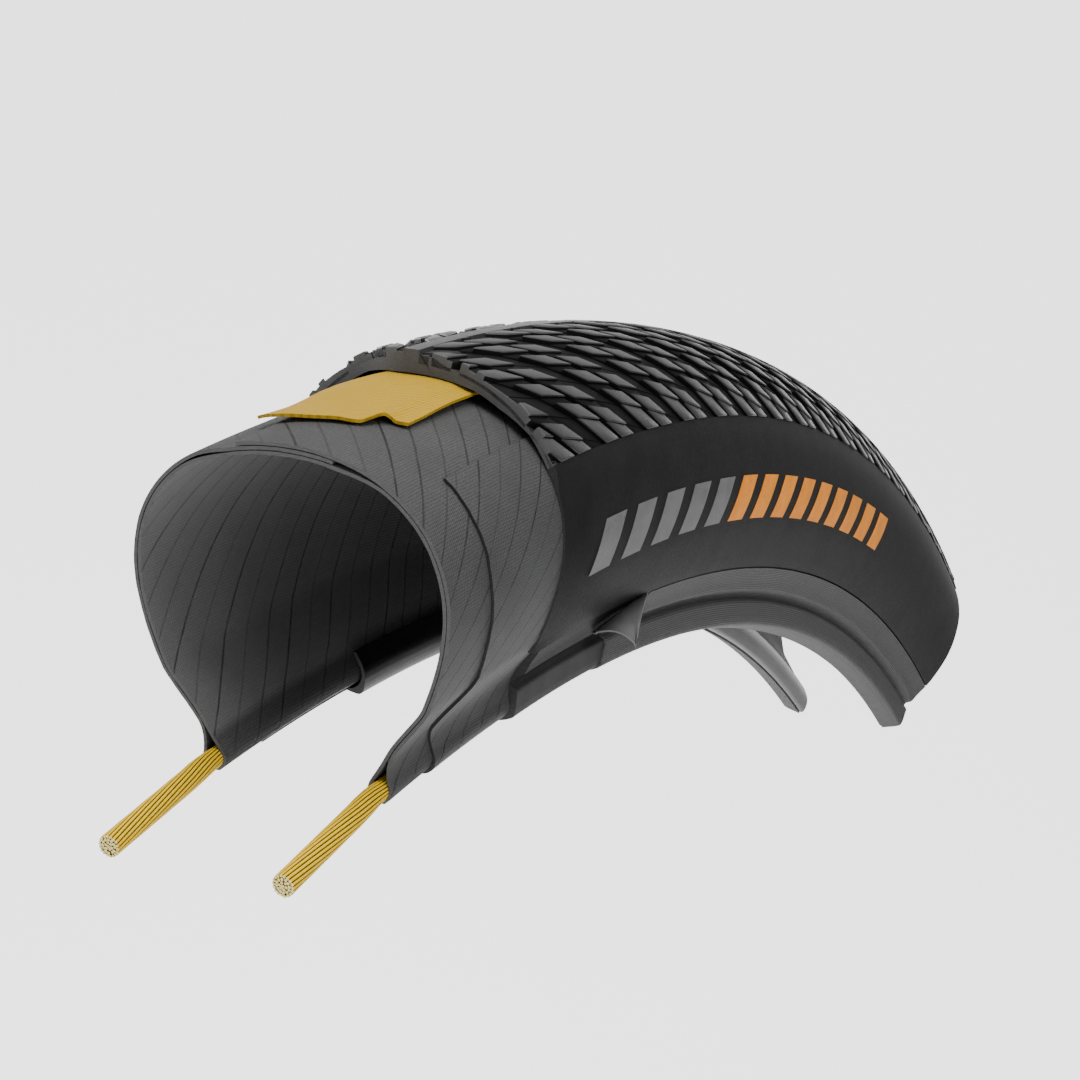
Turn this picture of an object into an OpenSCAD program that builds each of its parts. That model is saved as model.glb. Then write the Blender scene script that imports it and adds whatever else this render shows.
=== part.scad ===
// Cut-away section of a folding bicycle tire, 35-622.
// Frame: the wheel's axis runs along Y, below the part. The origin is on the bead seat circle,
// at the tire's mid-plane, in the cut across the front of the casing. +Z points out to the
// tread and +X along the tire to the far cut. The right side of the tire is at negative Y.
// A profile point is [radius from the wheel's axis, distance right of the mid-plane].

/* [Wheel] */
// Diameter of the rim's bead seat, which names the tire's size
bead_seat_d = 622; // [200:1:640]
// Angle of the wheel that the far cut stands at
far_cut = 40.2; // [20:0.1:90]

/* [Casing] */
// Mean radius of the casing's section, at the outer face of the plies
section_r = 18.07; // [14:0.01:26]
// Height of the section's centre above the bead seat
section_rise = 17.47; // [14:0.01:24]
// Thickness of the folded carcass ply
ply_t = 0.36; // [0.2:0.01:0.6]
// Gap between one ply and the next
ply_gap = 0.1; // [0.02:0.01:0.2]
// Angle from the crown where the left turn-up ends, past the crown on the right
left_turnup_end = 19; // [5:1:40]
// Angle from the crown where the right turn-up ends, past the crown on the left
right_turnup_end = 16; // [5:1:40]
// Thickness of the side ply that covers each flank
side_ply_t = 0.3; // [0.15:0.01:0.6]
// Wheel angle of the side ply's front edge
side_ply_start = 1.35; // [0.5:0.05:3]
// Angle from the crown of the side ply's upper edge
side_ply_top = 44; // [30:1:60]

/* [Bead] */
// Diameter of one aramid strand in the bead core
strand_d = 0.285; // [0.15:0.005:0.5]
// Height of the bead core's centre above the bead seat
core_rise = 1; // [0.8:0.05:2]
// Distance of the bead core's centre from the mid-plane
core_side = 9.4; // [7:0.01:14]
// Length of bead core that stands out of the front cut
core_stub = 18; // [5:1:40]
// Depth of the bead outside the core's middle, out to its face
bead_cover = 2.1; // [0.6:0.01:8.6]
// Height above the bead seat of the upper edge of the bead's flat face
bead_face_top = 2.6; // [1.5:0.05:4]
// Wheel angle where the smooth rim strip starts
rim_strip_start = 4.8; // [3:0.1:12]
// Wheel angle where the woven chafer starts
chafer_start = 8; // [5:0.1:20]
// Thickness of the woven chafer
chafer_t = 0.22; // [0.1:0.01:0.5]
// Wheel angle that the peeled corner of the right chafer reaches
peel_end = 10.4; // [9:0.1:20]

/* [Sidewall and tread] */
// Wheel angle of the front cut through the sidewalls and the tread
cover_start = 4.35; // [2:0.05:12]
// Thickness of the sidewall rubber at the flank
sidewall_t = 0.7; // [0.4:0.05:2]
// Height of the sidewall's lower edge above the bead seat
sidewall_foot = 8.2; // [7.6:0.1:9]
// Angle from the crown of the tread's shoulder
shoulder = 56; // [45:1:70]
// Thickness of the tread at the crown
crown_t = 3.75; // [2:0.05:6]
// Thickness of the tread at the shoulder
shoulder_t = 1.6; // [1:0.05:3]
// Wheel angle from one tread groove to the next
groove_pitch = 2.06; // [1.5:0.01:4]
// Width of a tread groove
groove_w = 2.2; // [1:0.1:4]
// Depth of a tread groove
groove_depth = 0.9; // [0.4:0.05:1.6]
// Angle between a tread groove and the tire's length
groove_slant = 42; // [30:1:60]
// Half width of the breaker strip
breaker_half = 7; // [4:0.5:14]
// Thickness of the breaker strip
breaker_t = 0.45; // [0.2:0.01:0.8]
// Wheel angle of the breaker's free front end
breaker_start = 1.3; // [0.5:0.1:3]

/* [Transfer bars] */
// Wheel angle where the grey bars start
grey_start = 5.8; // [5:0.1:12]
// Number of grey bars
grey_bars = 5; // [1:1:12]
// Number of orange bars
orange_bars = 9; // [1:1:16]
// Wheel angle from one bar to the next
bar_pitch = 1.6; // [0.8:0.05:3]
// Share of that angle that a bar fills
bar_fill = 0.62; // [0.3:0.01:0.9]
// Thickness of the transfer film
film_t = 0.06; // [0.03:0.01:0.15]

/* [Hidden] */
$fn = 360;

// Angle between two points of a curved profile
step = 4;
// Share of the section's radius that each harmonic of its egg shape takes
egg = [-0.019, 0.044, -0.056];
// Clear gap between two layers that lie on each other
lay_gap = 0.03;
// Strands in each ring of the bead core, from the centre out
ring_counts = [1, 6, 12, 18];
// Distance from one strand's axis to the next, as strand diameters
strand_pitch = 1.02;

seat_r = bead_seat_d / 2;
bead_face = core_side + bead_cover;
centre_r = seat_r + section_rise;
core_r = seat_r + core_rise;
core_stub_angle = core_stub / core_r * 180 / PI;
core_radius = strand_d * (0.5 + strand_pitch * (len(ring_counts) - 1));
ply_lift = ply_t + ply_gap;
// Radius of the turn-up's outer face where it wraps the bead core
wrap_r = core_radius + lay_gap + ply_t;
// Angle from the crown where the round flank ends and the narrow neck above the bead starts
flank_end = 118;
// Wrap angles where the plies leave the bead core, outside it and on the cavity side
wrap_out = 56;
wrap_in = 296;
// Wrap angle under the bead's toe where the side ply ends
side_wrap = 188;
// Shares of the rise and the run from the bead core to the flank's end at the neck's points
neck = [[0.768, 0.701], [0.512, 0.369], [0.338, 0.221]];
side_out = side_ply_t + lay_gap;
breaker_out = breaker_t + lay_gap;
breaker_edge = breaker_half / (section_r * PI / 180);
// Profile point of the peeled corner's tip
peel_tip = [seat_r + 5, bead_face + 6.7];
// Angles from the crown of the printed bars' lower and upper edges
film_low = 97;
film_top = 78;

// Radius of the casing's section at an angle from the crown
function section(a) = section_r
    * (1 + egg[0] * cos(a) + egg[1] * cos(2 * a) + egg[2] * cos(3 * a));
// Profile point at an angle from the crown and a height above the plies' outer face
function flank(a, h) = [centre_r + (section(a) + h) * cos(a), (section(a) + h) * sin(a)];
// Profile point on a circle round the right bead core
function wrap(a, r) = [core_r + r * cos(a), core_side + r * sin(a)];
// 0 before a, 1 after b, and an even slope between
function ramp(x, a, b) = min(1, max(0, (x - a) / (b - a)));
function mirrored(points) = [for (p = points) [p[0], -p[1]]];
function reversed(points) = [for (i = [len(points) - 1:-1:0]) points[i]];
// Unit normal of a path at one of its points
function along(path, i) = path[min(i + 1, len(path) - 1)] - path[max(i - 1, 0)];
function normal(path, i) = let (d = along(path, i)) [d[1], -d[0]] / norm(d);
function offset_path(path, h) = [for (i = [0:len(path) - 1]) path[i] + h * normal(path, i)];
// Outline of an even layer of thickness t, centred on a path
function band(path, t) = concat(offset_path(path, t / 2), reversed(offset_path(path, -t / 2)));

// How far a layer of the carcass ply lies under the outer face, in plies
function under_main(a) = 1 + ramp(40 - abs(a), 0, 20);
function under_left(a) = ramp(a, -34, -18);
function neck_line() = let (core = [core_r, core_side], way = flank(flank_end, 0) - core)
    [for (p = neck) core + [p[0] * way[0], p[1] * way[1]]];
// Outer face of the plies on the right, from an angle down the flank to one round the bead
function skin_line(from, to = wrap_in) = concat(
    [for (a = [from:step:flank_end]) flank(a, 0)],
    neck_line(),
    [for (a = [wrap_out:step * 4:to]) wrap(a, wrap_r)]
);
// Right half of the carcass ply under the crown and the flank, and down the neck
function inner_right() = concat(
    [for (a = [0:step:flank_end]) flank(a, -ply_t / 2 - ply_lift * under_main(a))],
    [for (i = [1:len(neck)]) offset_path(concat([flank(flank_end, 0)], neck_line()),
        -ply_t / 2 - ply_lift)[i]]
);
// Right half of the carcass ply from its turn-up's end down and round under the bead core
function outer_right() = offset_path(skin_line(-right_turnup_end), -ply_t / 2);
function outer_left() = concat(
    [for (a = [-left_turnup_end:step:shoulder]) flank(a, -ply_t / 2 - ply_lift * under_left(-a))],
    offset_path(skin_line(shoulder + step / 2), -ply_t / 2)
);
// Middle line of the carcass ply, from the left turn-up's end to the right one's
function ply_line() = concat(
    mirrored(outer_left()),
    reversed(mirrored(inner_right())),
    [for (i = [1:len(inner_right()) - 1]) inner_right()[i]],
    reversed(outer_right())
);
// Outer face of the rim strip on the right: its upper lip, a channel, and the bead's face
function rim_face() = [
    [seat_r + sidewall_foot - 0.1, bead_face + 3.2],
    [seat_r + 6.2, bead_face + 1.95],
    [seat_r + 5.1, bead_face + 1.4],
    [seat_r + 4.75, bead_face + 1.2],
    [seat_r + bead_face_top + 1.5, bead_face + 0.05],
    [seat_r + bead_face_top + 0.6, bead_face - 0.1],
    [seat_r + bead_face_top + 0.15, bead_face + 0.5],
    [seat_r + 0.1, bead_face + 0.25],
    [seat_r - 0.5, bead_face - 0.1],
    [seat_r - 1.3, core_side - 1.1]
];
// The strip's flap, which laps the bead's toe and stands against the cavity's wall
function rim_flap() = [
    [seat_r - 1.15, core_side - 1.8],
    [seat_r + core_rise, core_side - 2.2],
    [seat_r + 2.2, core_side - 1.85],
    [seat_r + 3.6, core_side - 1]
];
// Inner face of the rim strip, against the side ply and round the bead
function rim_back() = concat(
    [[seat_r + sidewall_foot - 0.1, bead_face + 2.6]],
    [for (p = offset_path(skin_line(flank_end), side_out + lay_gap))
        if (p[0] < seat_r + sidewall_foot - 0.3) p],
    [[seat_r + 3.6, core_side - 0.55]]
);
// Outer face of the tread and of the sidewall, above the plies
function tread_h(a) = side_out + lay_gap + shoulder_t
    + (crown_t - shoulder_t) * pow(cos(min(90, abs(a) * 90 / shoulder)), 1.2);
function sidewall_h(a) = side_out + lay_gap
    + sidewall_t * (1 + 0.55 * ramp(a, shoulder + 26, shoulder)
    - 0.25 * ramp(a, flank_end - 18, flank_end));

// A profile turned about the wheel's axis from one wheel angle to another
module sweep(from, to) {
    translate([0, 0, -seat_r]) rotate([90, 0, 0]) rotate([0, 0, 90 - to])
        rotate_extrude(angle = to - from) children();
}
module right_or_left(side) {
    if (side > 0) children();
    else mirror([0, 1, 0]) children();
}

// One ring of parallel strands in a bead core; side is 1 on the right and -1 on the left
module strand_ring(side, ring) {
    count = ring_counts[ring];
    color([0.86, 0.69, 0.27])
        sweep(-core_stub_angle, far_cut)
            for (k = [0:count - 1])
                translate([core_r, side * core_side])
                    rotate(k * 360 / count)
                        translate([ring * strand_d * strand_pitch, 0])
                            circle(d = strand_d, $fn = 16);
}

module carcass_ply() {
    color([0.33, 0.33, 0.33]) sweep(0, far_cut) polygon(band(ply_line(), ply_t));
}

module side_ply(side) {
    line = offset_path(skin_line(side_ply_top, side_wrap), lay_gap + side_ply_t / 2);
    color([0.36, 0.36, 0.36])
        right_or_left(side)
            sweep(side_ply_start, far_cut) polygon(band(line, side_ply_t));
}

module rim_strip(side) {
    color([0.13, 0.13, 0.13])
        right_or_left(side)
            sweep(rim_strip_start, far_cut)
                polygon(concat(rim_face(), rim_flap(), reversed(rim_back())));
}

// Place of a profile point at a wheel angle
function spot(p, a) = [p[0] * sin(a), -p[1], p[0] * cos(a) - seat_r];

// The peeled corner of the right chafer: a leaf that hangs out from its root on the bead
module peeled_corner(line) {
    leaf = [
        spot(line[0] - [0.1, 0], peel_end + 0.25),
        spot(line[2] - [0.1, 0], chafer_start + 0.15),
        spot(peel_tip, chafer_start + 0.2)
    ];
    across = cross(leaf[1] - leaf[0], leaf[2] - leaf[0]);
    lift = across / norm(across) * chafer_t / 2;
    polyhedron(
        points = concat([for (p = leaf) p - lift], [for (p = leaf) p + lift]),
        faces = [[0, 1, 2], [5, 4, 3], [0, 3, 4, 1], [1, 4, 5, 2], [2, 5, 3, 0]]
    );
}

// The woven chafer. Its upper front corner on the right is peeled away from the bead.
module chafer(side) {
    line = offset_path(rim_face(), lay_gap + chafer_t / 2);
    lower = [for (i = [2:len(line) - 1]) line[i]];
    color([0.22, 0.22, 0.22])
        right_or_left(side) {
            sweep(side > 0 ? peel_end : chafer_start, far_cut) polygon(band(line, chafer_t));
            if (side > 0) {
                sweep(chafer_start, peel_end + 0.1) polygon(band(lower, chafer_t));
                peeled_corner(line);
            }
        }
}

module sidewall(side) {
    foot = [seat_r + sidewall_foot, bead_face + 3.55];
    inner = [for (a = [shoulder:step:flank_end]) flank(a, side_out + lay_gap)];
    outer = [for (a = [shoulder:step:flank_end]) flank(a, sidewall_h(a))];
    color([0.2, 0.2, 0.2])
        right_or_left(side)
            sweep(cover_start, far_cut)
                polygon(concat(outer, [foot, foot - [0, sidewall_t + 0.2]], reversed(inner)));
}

module breaker() {
    line = [for (a = [-breaker_edge:breaker_edge / 6:breaker_edge])
        flank(a, lay_gap + breaker_t / 2)];
    color([0.83, 0.68, 0.32]) sweep(breaker_start, far_cut) polygon(band(line, breaker_t));
}

// Height of the tread's underside, which clears the side plies and the breaker
function under_tread(a) = lay_gap + (abs(a) <= breaker_edge + step ? breaker_out : side_out);

// The cutter for one straight piece of a slanted tread groove, centred at profile angle a
module groove_piece(a, length) {
    p = flank(a, tread_h(a));
    translate([0, -p[1], p[0]])
        rotate([a, 0, 0])
            rotate([0, 0, -groove_slant])
                translate([-length / 2, -groove_w / 2, -groove_depth])
                    cube([length, groove_w, groove_depth * 4]);
}

// Right half of one groove, from near the crown out over the shoulder
module groove() {
    pieces = 4;
    first = 5;
    span = (shoulder - first) / pieces;
    for (k = [0:pieces - 1]) {
        a = first + (k + 0.5) * span;
        run = section_r * (span * PI / 180) / tan(groove_slant);
        turn = (k + 0.5) * run / (seat_r + section_rise + section_r) * 180 / PI;
        rotate([0, turn, 0]) groove_piece(a, norm([run, section_r * span * PI / 180]) + 1.6);
    }
}

module tread() {
    inner = [for (a = [-shoulder:step:shoulder]) flank(a, under_tread(a))];
    outer = [for (a = [-shoulder:step:shoulder]) flank(a, tread_h(a))];
    grooves = ceil((far_cut - cover_start) / groove_pitch);
    color([0.15, 0.15, 0.15])
        difference() {
            sweep(cover_start, far_cut) polygon(concat(outer, reversed(inner)));
            translate([0, 0, -seat_r])
                for (side = [1, -1], k = [-2:grooves - 1])
                    rotate([0, cover_start + (k + 0.25) * groove_pitch, 0])
                        right_or_left(side) groove();
        }
}

// A run of bars printed on the right sidewall
module transfer_bars(from, count) {
    foot = [for (a = [film_top:step:film_low]) flank(a, sidewall_h(a) + film_t * 0.3)];
    face = [for (a = [film_top:step:film_low]) flank(a, sidewall_h(a) + film_t * 1.3)];
    for (k = [0:count - 1])
        sweep(from + k * bar_pitch, from + (k + bar_fill) * bar_pitch)
            polygon(concat(face, reversed(foot)));
}
module grey_bars_transfer() {
    color([0.47, 0.48, 0.48]) transfer_bars(grey_start, grey_bars);
}
module orange_bars_transfer() {
    color([0.85, 0.55, 0.24])
        transfer_bars(grey_start + grey_bars * bar_pitch, orange_bars);
}

strand_ring(-1, 0);  // bead_left_centre_strand
strand_ring(-1, 1);  // bead_left_inner_strands
strand_ring(-1, 2);  // bead_left_middle_strands
strand_ring(-1, 3);  // bead_left_outer_strands
strand_ring(1, 0);  // bead_right_centre_strand
strand_ring(1, 1);  // bead_right_inner_strands
strand_ring(1, 2);  // bead_right_middle_strands
strand_ring(1, 3);  // bead_right_outer_strands
carcass_ply();
side_ply(-1);  // side_ply_left
side_ply(1);  // side_ply_right
rim_strip(-1);  // rim_strip_left
rim_strip(1);  // rim_strip_right
chafer(-1);  // chafer_left
chafer(1);  // chafer_right
sidewall(-1);  // sidewall_left
sidewall(1);  // sidewall_right
breaker();
tread();
grey_bars_transfer();
orange_bars_transfer();
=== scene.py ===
"""Cut-away section of a folding bicycle tire, in the frame of its CAD model.

Sizes are in millimetres and angles in degrees until place() turns them into the frame's metres.
A point on the tire is (t, s, h): wheel angle, length round the section from the crown, and
height above the outer face of the plies. A profile point is (radius, distance to the right).
"""
import math

import bmesh
import bpy
import numpy as np
from mathutils import Matrix, Vector


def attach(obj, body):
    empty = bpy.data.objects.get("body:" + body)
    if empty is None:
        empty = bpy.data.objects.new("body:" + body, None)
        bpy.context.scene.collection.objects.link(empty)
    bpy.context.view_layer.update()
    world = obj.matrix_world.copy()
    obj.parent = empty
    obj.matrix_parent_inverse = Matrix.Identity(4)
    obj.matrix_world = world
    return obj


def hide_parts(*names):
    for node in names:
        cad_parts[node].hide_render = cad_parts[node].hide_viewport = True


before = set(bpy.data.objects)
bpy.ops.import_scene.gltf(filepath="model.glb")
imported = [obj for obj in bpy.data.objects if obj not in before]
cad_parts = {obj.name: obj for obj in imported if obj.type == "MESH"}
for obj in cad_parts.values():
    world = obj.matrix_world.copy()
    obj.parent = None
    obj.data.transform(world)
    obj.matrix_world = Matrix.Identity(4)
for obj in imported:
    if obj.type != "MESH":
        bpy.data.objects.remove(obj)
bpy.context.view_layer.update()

rng = np.random.default_rng(622)

# ---------------------------------------------------------------- sizes, as in the CAD model
SEAT_R = 311.0
CENTRE_R = SEAT_R + 17.47
SECTION_R = 18.07
EGG = (-0.019, 0.044, -0.056)
CORE_R = SEAT_R + 1.0
CORE_SIDE = 9.4
STRAND_D = 0.285
STRAND_PITCH = 1.02
RINGS = (1, 6, 12, 18)
PLY_T = 0.36
PLY_GAP = 0.1
PLY_LIFT = PLY_T + PLY_GAP
LAY_GAP = 0.03
SIDE_T = 0.3
SIDE_OUT = SIDE_T + LAY_GAP
WRAP_R = STRAND_D * (0.5 + STRAND_PITCH * 3) + LAY_GAP + PLY_T
NECK = ((6.6, 3.8), (4.4, 2.0), (2.9, 1.2))
FLANK_END = 118
WRAP_OUT, WRAP_IN, SIDE_WRAP = 56, 296, 188
FAR_CUT = 40.2
STUB_LENGTH = 18.0
STUB = math.degrees(STUB_LENGTH / CORE_R)      # wheel angle of the bare end of a bead core
SIDE_TOP = 44
RIM_START = {"right": 4.8, "left": 5.0}
PEEL_END = 10.4
COVER_START = 4.35
BEAD_FACE = 11.5
FOOT = 8.2
SHOULDER = 56
CROWN_T, SHOULDER_T = 3.75, 1.6
SIDEWALL_T = 0.7
CHAFER_T = 0.22
BREAKER_T = 0.45
BREAKER_SHOWN = 0.34     # the cloth pressed flat, without the gum it is bedded in
BREAKER_HALF = 7.0
LEFT_TURNUP, RIGHT_TURNUP = 19, 16
GROOVE_PITCH = 2.06


def ramp(x, a, b):
    """0 before a, 1 after b, and an even slope between."""
    return min(1.0, max(0.0, (x - a) / (b - a)))


def smooth(x):
    x = min(1.0, max(0.0, x))
    return x * x * (3 - 2 * x)


def section(a):
    a = math.radians(a)
    return SECTION_R * (1 + sum(k * math.cos((i + 1) * a) for i, k in enumerate(EGG)))


def flank(a, h=0.0):
    """Profile point at an angle from the crown and a height above the plies' outer face."""
    q = section(a) + h
    return (CENTRE_R + q * math.cos(math.radians(a)), q * math.sin(math.radians(a)))


def wrap(a, r):
    return (CORE_R + r * math.cos(math.radians(a)), CORE_SIDE + r * math.sin(math.radians(a)))


# Length round the section from the crown against the angle from the crown
ANGLES = np.linspace(-130, 130, 2601)
_pts = np.array([flank(a) for a in ANGLES])
ROUND = np.concatenate([[0], np.cumsum(np.hypot(*np.diff(_pts, axis=0).T))])
ROUND -= np.interp(0, ANGLES, ROUND)


def place(r, n, t):
    """A profile point at a wheel angle, in the frame's metres."""
    t = math.radians(t)
    return (r * math.sin(t) / 1000, -n / 1000, (r * math.cos(t) - SEAT_R) / 1000)


# ---------------------------------------------------------------- paths through the section
def normals(path):
    p = np.asarray(path, float)
    d = np.empty_like(p)
    d[1:-1] = p[2:] - p[:-2]
    d[0], d[-1] = p[1] - p[0], p[-1] - p[-2]
    d /= np.linalg.norm(d, axis=1)[:, None]
    return np.stack([d[:, 1], -d[:, 0]], 1)


def offset(path, h):
    return np.asarray(path, float) + normals(path) * h


def lengths(path):
    p = np.asarray(path, float)
    return np.concatenate([[0], np.cumsum(np.hypot(*np.diff(p, axis=0).T))])


def even(path, step, rounds=2):
    """The path with its corners cut smooth and its points an even step apart."""
    p = np.asarray(path, float)
    for _ in range(rounds):
        q = [p[0]]
        for a, b in zip(p[:-1], p[1:]):
            q += [a * 0.75 + b * 0.25, a * 0.25 + b * 0.75]
        p = np.array(q + [p[-1]])
    d = lengths(p)
    at = np.linspace(0, d[-1], max(3, int(round(d[-1] / step)) + 1))
    return np.stack([np.interp(at, d, p[:, 0]), np.interp(at, d, p[:, 1])], 1)


def arc(a, b, depth=lambda a: 0.0, step=2.0):
    n = max(2, int(abs(b - a) / step) + 1)
    return [flank(x, depth(x)) for x in np.linspace(a, b, n)]


def neck_line():
    return [(CORE_R + r, CORE_SIDE + n) for r, n in NECK]


def skin_line(start, end=WRAP_IN):
    """Outer face of the plies on the right: down the flank and round under the bead."""
    return (arc(start, FLANK_END) + neck_line()
            + [wrap(a, WRAP_R) for a in np.linspace(WRAP_OUT, end, 16)])


def mirrored(path):
    return [(r, -n) for r, n in path]


def ply_line():
    """Middle line of the carcass ply from the left turn-up's end to the right one's."""
    def main_depth(a):
        return -PLY_T / 2 - PLY_LIFT * (1 + smooth((40 - abs(a)) / 20))

    def left_depth(a):
        return -PLY_T / 2 - PLY_LIFT * smooth((34 - a) / 16)

    neck = offset([flank(FLANK_END)] + neck_line(), -PLY_T / 2 - PLY_LIFT)[1:]
    inner = arc(0, FLANK_END, main_depth) + [tuple(p) for p in neck]
    right = [tuple(p) for p in offset(skin_line(-RIGHT_TURNUP), -PLY_T / 2)]
    left = (arc(-LEFT_TURNUP, SHOULDER, left_depth)
            + [tuple(p) for p in offset(skin_line(SHOULDER + 2), -PLY_T / 2)])
    return mirrored(left) + mirrored(inner)[::-1] + inner[1:] + right[::-1]


# ---------------------------------------------------------------- meshes
def new_object(name, verts, faces, body="root", smooth_angle=35, lay=None, parts=None):
    """A mesh object that rides on the tire. lay is a vector for each vertex, kept for materials."""
    mesh = bpy.data.meshes.new(name)
    mesh.from_pydata([tuple(v) for v in verts], [], [tuple(f) for f in faces])
    if lay is not None:
        made = mesh.attributes.new("lay", "FLOAT_VECTOR", "POINT")
        made.data.foreach_set("vector", np.asarray(lay, np.float32).ravel())
    if parts is not None:
        mesh.polygons.foreach_set("material_index", parts)
    mesh.validate()
    obj = bpy.data.objects.new(name, mesh)
    bpy.context.scene.collection.objects.link(obj)
    bm = bmesh.new()
    bm.from_mesh(mesh)
    bmesh.ops.recalc_face_normals(bm, faces=bm.faces)
    bm.to_mesh(mesh)
    bm.free()
    mesh.shade_smooth()
    mesh.set_sharp_from_angle(angle=math.radians(smooth_angle))
    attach(obj, body)
    return obj


def strip_cap(a, b):
    """Faces that fill the band between two rows of vertices, whose counts may differ."""
    out, i, j = [], 0, 0
    while i < len(a) - 1 or j < len(b) - 1:
        if j == len(b) - 1 or (i < len(a) - 1 and (i + 1) / (len(a) - 1) <= (j + 1) / (len(b) - 1)):
            out.append((a[i], a[i + 1], b[j]))
            i += 1
        else:
            out.append((a[i], b[j + 1], b[j]))
            j += 1
    return out


def rows_from(start, stop, step, fine=0.15):
    """Wheel angles from start to stop, close together at the cut end."""
    out, d = [start], fine
    while out[-1] + d < stop - d / 2:
        out.append(out[-1] + d)
        d = min(step, d * 1.25)
    return out + [stop]


def joined(*parts):
    """One (verts, faces, lay, slots) from several."""
    verts, faces, lay, slots = [], [], [], []
    for v, f, a, s in parts:
        base = len(verts)
        verts += v
        faces += [tuple(i + base for i in face) for face in f]
        lay += a
        slots += s
    return verts, faces, lay, slots


def tube(points, radii, core, sides=8, cap_slot=1):
    """A round strand along points in metres, with its cut ends in a slot of their own. The
    third number of its lay is how far each side faces away from the core's middle line."""
    p = np.asarray(points, float)
    out = p - np.asarray(core, float)
    out /= np.maximum(np.linalg.norm(out, axis=1), 1e-6)[:, None]
    d = np.gradient(p, axis=0)
    d /= np.linalg.norm(d, axis=1)[:, None]
    up = np.array([0.0, 1.0, 0.0])
    a = np.cross(d, up)
    a /= np.linalg.norm(a, axis=1)[:, None]
    b = np.cross(d, a)
    along = np.concatenate([[0], np.cumsum(np.linalg.norm(np.diff(p, axis=0), axis=1))]) * 1000
    verts, lay, faces = [], [], []
    for i in range(len(p)):
        for k in range(sides):
            w = 2 * math.pi * k / sides
            face = a[i] * math.cos(w) + b[i] * math.sin(w)
            verts.append(p[i] + face * radii[i])
            lay.append((along[i], k / sides, float(face @ out[i])))
    for i in range(len(p) - 1):
        for k in range(sides):
            m = (k + 1) % sides
            faces.append((i * sides + k, i * sides + m, (i + 1) * sides + m, (i + 1) * sides + k))
    slots = [0] * len(faces)
    faces += [tuple(range(sides))[::-1], tuple(range((len(p) - 1) * sides, len(p) * sides))]
    return verts, faces, lay, slots + [cap_slot, cap_slot]


def made(name, data, **kw):
    v, f, a, s = data
    return new_object(name, v, f, lay=a, parts=s, **kw)


def sheet_of(path, thick, start_of, stop=FAR_CUT, step=0.9, lift=None, fine=0.15, origin=0.0,
             side=1, grain=1):
    """A thick layer on a path through the section. start_of(l) is the wheel angle of its front
    edge at a length l along the path, and lift(t, l) how far it stands off the path there."""
    path = np.asarray(path, float)
    l, nor = lengths(path), normals(path)
    first = [start_of(x) for x in l]
    u = (np.array(rows_from(0, stop, step, fine))) / stop
    m = len(path)
    verts, lay, faces = [], [], []
    for face in (1, -1):
        for w in u:
            for j in range(m):
                t = first[j] + (stop - first[j]) * w
                h = face * thick / 2 + (lift(t, l[j]) if lift else 0.0)
                r, n = path[j] + nor[j] * h
                verts.append(place(r, side * n, t))
                lay.append((math.radians(t) * CENTRE_R, grain * l[j] + origin, face))
    rows = len(u)
    base = rows * m
    for i in range(rows - 1):
        for j in range(m - 1):
            a, b = i * m + j, (i + 1) * m + j
            faces.append((a, a + 1, b + 1, b))
            faces.append((base + a, base + b, base + b + 1, base + a + 1))
    slots = [0] * len(faces)
    for i in range(rows - 1):
        for j in (0, m - 1):
            a, b = i * m + j, (i + 1) * m + j
            faces.append((a, b, base + b, base + a))
            slots.append(1)
    for i in (0, rows - 1):
        for j in range(m - 1):
            a = i * m + j
            faces.append((a, base + a, base + a + 1, a + 1))
    return verts, faces, lay, slots + [1] * (2 * (m - 1))


def solid_of(outer_of, inner_of, start, stop=FAR_CUT, step=0.9, side=1, fine=0.2,
             shear=lambda n: 0.0):
    """A solid between the outer and inner profiles that two functions of the angle give.
    shear(n) is how much further back the front cut lies at a distance n to the right."""
    ts = rows_from(start, stop, step, fine)
    first, outer = [tuple(p) for p in inner_of(start)], outer_of(start)
    half, m = len(outer), len(outer) + len(first)
    l = lengths([tuple(p) for p in outer] + first[::-1])
    verts, lay, faces = [], [], []
    for t in ts:
        ring = [tuple(p) for p in outer_of(t)] + [tuple(p) for p in inner_of(t)][::-1]
        left = (stop - t) / (stop - start)
        for j, (r, n) in enumerate(ring):
            back = t + shear(side * n) * left
            verts.append(place(r, side * n, back))
            lay.append((math.radians(back) * CENTRE_R, l[j], 0))
    for i in range(len(ts) - 1):
        for j in range(m):
            k = (j + 1) % m
            faces.append((i * m + j, i * m + k, (i + 1) * m + k, (i + 1) * m + j))
    slots = [0] * len(faces)
    for i in (0, len(ts) - 1):
        cap = strip_cap([i * m + j for j in range(half)],
                        [i * m + j for j in range(m - 1, half - 1, -1)])
        faces += cap
        slots += [1] * len(cap)
    return verts, faces, lay, slots


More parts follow.
